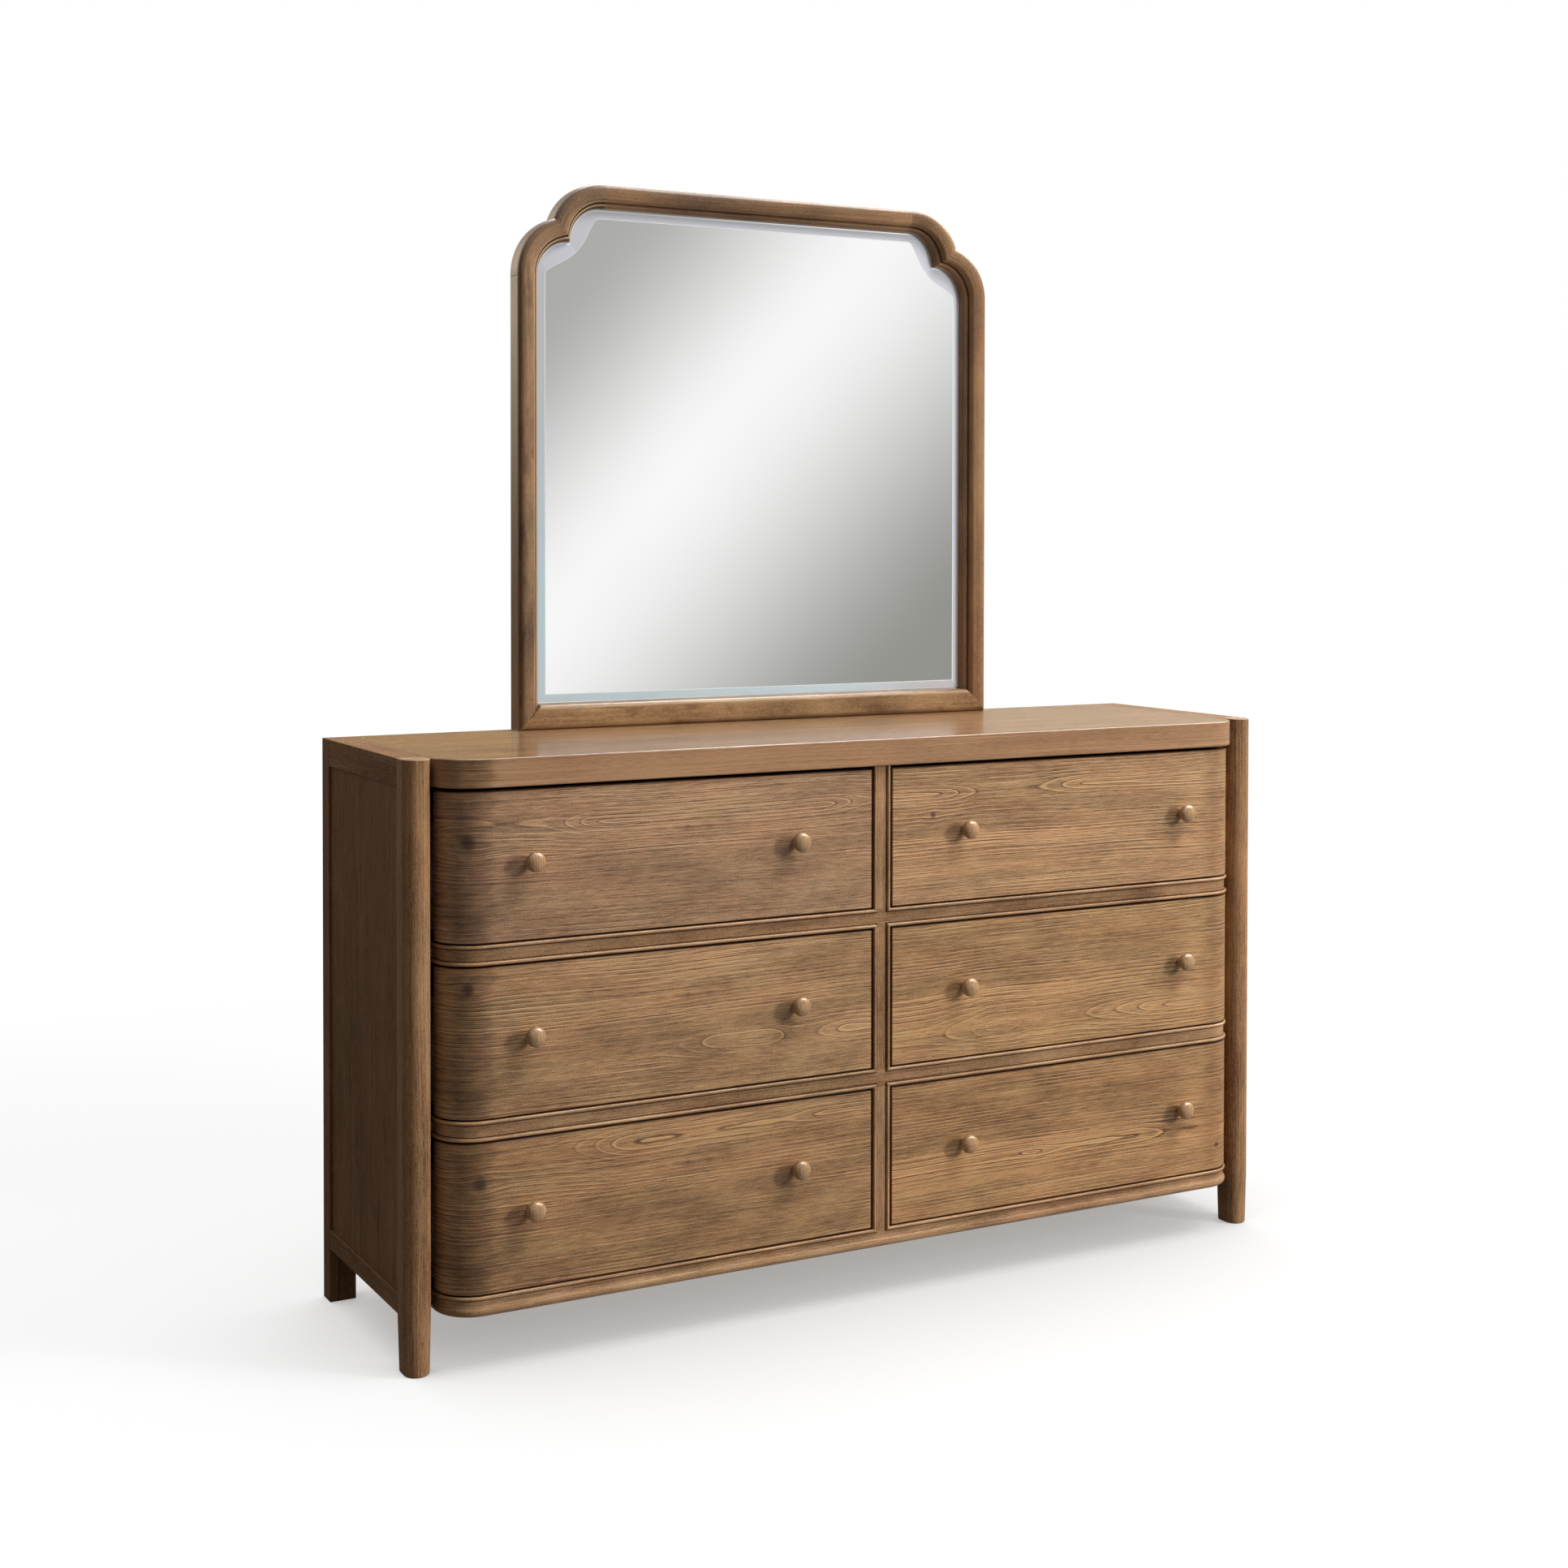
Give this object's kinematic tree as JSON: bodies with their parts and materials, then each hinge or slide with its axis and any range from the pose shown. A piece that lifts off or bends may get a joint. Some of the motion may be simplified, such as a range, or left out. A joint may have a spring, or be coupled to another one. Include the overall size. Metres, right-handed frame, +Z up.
{
  "type": "dresser with mirror",
  "caption": "Wide wooden chest of drawers with rounded front corners, beaded rails, round knobs and half-round posts, with a bevelled landscape mirror standing on its top.",
  "frame": {"origin": "floor level, in the middle of the whole object's width and depth", "axes": "+X to the right as seen from the front, +Y towards the wall, +Z up; the drawers open towards -Y"},
  "size_m": [1.651, 0.498, 1.905],
  "materials": {
    "backing_board": "brown hardboard",
    "drawer_box_wood": "plain pale wood",
    "drawer_front_wood": "wire-brushed brown pine, satin",
    "inner_wood": "plain wood",
    "knob_wood": "turned wood, satin",
    "mirror_frame_wood": "smooth brown pine, satin",
    "mirror_glass": "silvered glass with a ground bevel",
    "rail_wood": "brown pine with a dark glaze in the grooves, satin",
    "screw_steel": "zinc plated",
    "side_wood": "brown pine, satin",
    "slide_steel": "zinc plated",
    "top_wood": "brushed brown pine, satin"
  },
  "bodies": {
    "case": {"back_panel": "backing_board", "back_post_left": "side_wood", "back_post_right": "side_wood", "back_rails": "inner_wood", "bottom_panel": "inner_wood", "bottom_rail": "rail_wood", "centre_partition": "inner_wood", "centre_stiles": "rail_wood", "front_post_left": "side_wood", "front_post_right": "side_wood", "front_rail_lower": "rail_wood", "front_rail_upper": "rail_wood", "mirror_backing": "backing_board", "mirror_bottom_rail": "mirror_frame_wood", "mirror_corner_left": "mirror_frame_wood", "mirror_corner_right": "mirror_frame_wood", "mirror_glass": "mirror_glass", "mirror_stile_left": "mirror_frame_wood", "mirror_stile_right": "mirror_frame_wood", "mirror_supports": "inner_wood", "mirror_top_rail": "mirror_frame_wood", "side_bottom_rails": "side_wood", "side_panels": "side_wood", "side_top_rails": "side_wood", "slide_case_members": "slide_steel", "slide_cleats": "inner_wood", "support_screws": "screw_steel", "top_front_band": "top_wood", "top_panel": "top_wood"},
    "upper_left_drawer": {"upper_left_drawer_bottom": "drawer_box_wood", "upper_left_drawer_box": "drawer_box_wood", "upper_left_drawer_front": "drawer_front_wood", "upper_left_drawer_knobs": "knob_wood", "upper_left_drawer_runners": "slide_steel"},
    "upper_right_drawer": {"upper_right_drawer_bottom": "drawer_box_wood", "upper_right_drawer_box": "drawer_box_wood", "upper_right_drawer_front": "drawer_front_wood", "upper_right_drawer_knobs": "knob_wood", "upper_right_drawer_runners": "slide_steel"},
    "middle_left_drawer": {"middle_left_drawer_bottom": "drawer_box_wood", "middle_left_drawer_box": "drawer_box_wood", "middle_left_drawer_front": "drawer_front_wood", "middle_left_drawer_knobs": "knob_wood", "middle_left_drawer_runners": "slide_steel"},
    "middle_right_drawer": {"middle_right_drawer_bottom": "drawer_box_wood", "middle_right_drawer_box": "drawer_box_wood", "middle_right_drawer_front": "drawer_front_wood", "middle_right_drawer_knobs": "knob_wood", "middle_right_drawer_runners": "slide_steel"},
    "lower_left_drawer": {"lower_left_drawer_bottom": "drawer_box_wood", "lower_left_drawer_box": "drawer_box_wood", "lower_left_drawer_front": "drawer_front_wood", "lower_left_drawer_knobs": "knob_wood", "lower_left_drawer_runners": "slide_steel"},
    "lower_right_drawer": {"lower_right_drawer_bottom": "drawer_box_wood", "lower_right_drawer_box": "drawer_box_wood", "lower_right_drawer_front": "drawer_front_wood", "lower_right_drawer_knobs": "knob_wood", "lower_right_drawer_runners": "slide_steel"}
  },
  "joints": [
    {"name": "upper_left_drawer_slide", "type": "slide", "parent": "case", "child": "upper_left_drawer", "axis": [0, -1, 0], "range_m": [0, 0.28]},
    {"name": "upper_right_drawer_slide", "type": "slide", "parent": "case", "child": "upper_right_drawer", "axis": [0, -1, 0], "range_m": [0, 0.28]},
    {"name": "middle_left_drawer_slide", "type": "slide", "parent": "case", "child": "middle_left_drawer", "axis": [0, -1, 0], "range_m": [0, 0.28]},
    {"name": "middle_right_drawer_slide", "type": "slide", "parent": "case", "child": "middle_right_drawer", "axis": [0, -1, 0], "range_m": [0, 0.28]},
    {"name": "lower_left_drawer_slide", "type": "slide", "parent": "case", "child": "lower_left_drawer", "axis": [0, -1, 0], "range_m": [0, 0.28]},
    {"name": "lower_right_drawer_slide", "type": "slide", "parent": "case", "child": "lower_right_drawer", "axis": [0, -1, 0], "range_m": [0, 0.28]}
  ]
}
